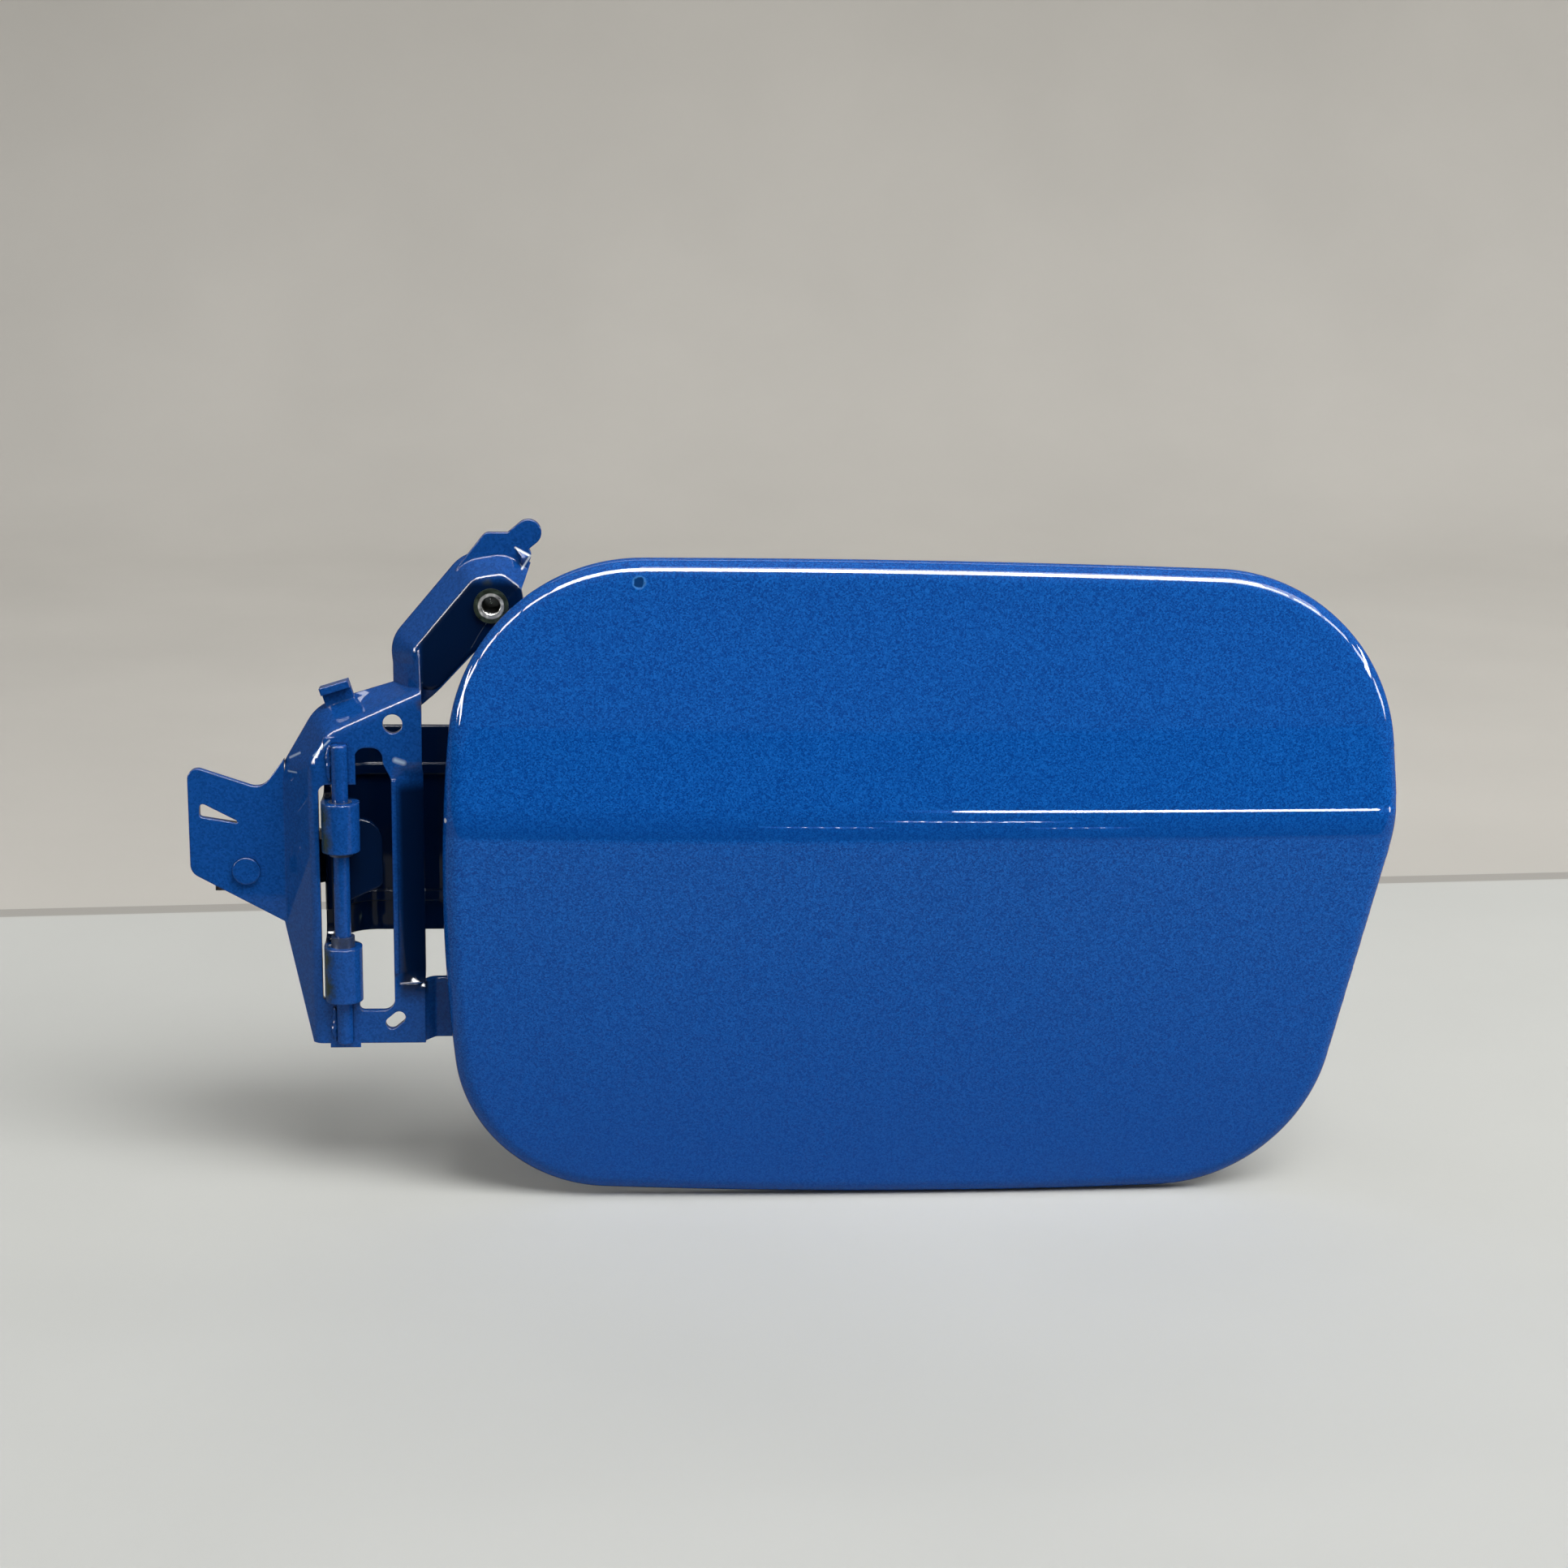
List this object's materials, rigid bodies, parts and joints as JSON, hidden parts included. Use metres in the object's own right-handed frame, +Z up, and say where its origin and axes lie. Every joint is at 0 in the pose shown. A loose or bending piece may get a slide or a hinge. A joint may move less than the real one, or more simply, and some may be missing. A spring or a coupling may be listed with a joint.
{
  "type": "car fuel door",
  "caption": "Car fuel door: a crowned, creased blue skin hemmed over a pressed inner panel, on a gooseneck arm that swings on a pin in a stamped, bolt-on hinge bracket",
  "frame": {"origin": "mouth of the upper bolt hole, on the hole's axis at the front face of its insert", "axes": "+X from the hinge towards the door's free end, +Y into the car, +Z up; the door is closed at rest"},
  "size_m": [0.2618, 0.0478, 0.1487],
  "materials": {
    "body_paint": "metallic blue under clear coat",
    "bare_steel": "bare, rubbed bright",
    "spring_steel": "blackened",
    "bush_plastic": "satin",
    "buffer_rubber": "matte"
  },
  "bodies": {
    "bracket": {"hinge_bracket": "body_paint", "hinge_pin": "body_paint", "kick_spring": "spring_steel", "spring_rivet": "body_paint", "upper_mount_nut": "bare_steel", "lower_mount_nut": "bare_steel"},
    "door": {"door_outer_panel": "body_paint", "door_inner_panel": "body_paint", "hinge_arm": "body_paint", "upper_bush": "bush_plastic", "lower_bush": "bush_plastic", "arm_rivets": "body_paint", "latch_striker": "body_paint", "striker_rivets": "body_paint", "upper_bump_stop": "buffer_rubber", "lower_bump_stop": "buffer_rubber"}
  },
  "joints": [
    {"name": "door_hinge", "type": "hinge", "parent": "bracket", "child": "door", "pos_m": [-0.0322, -0.0039, -0.0626], "axis": [0, 0, -1], "range_deg": [0, 78]}
  ]
}
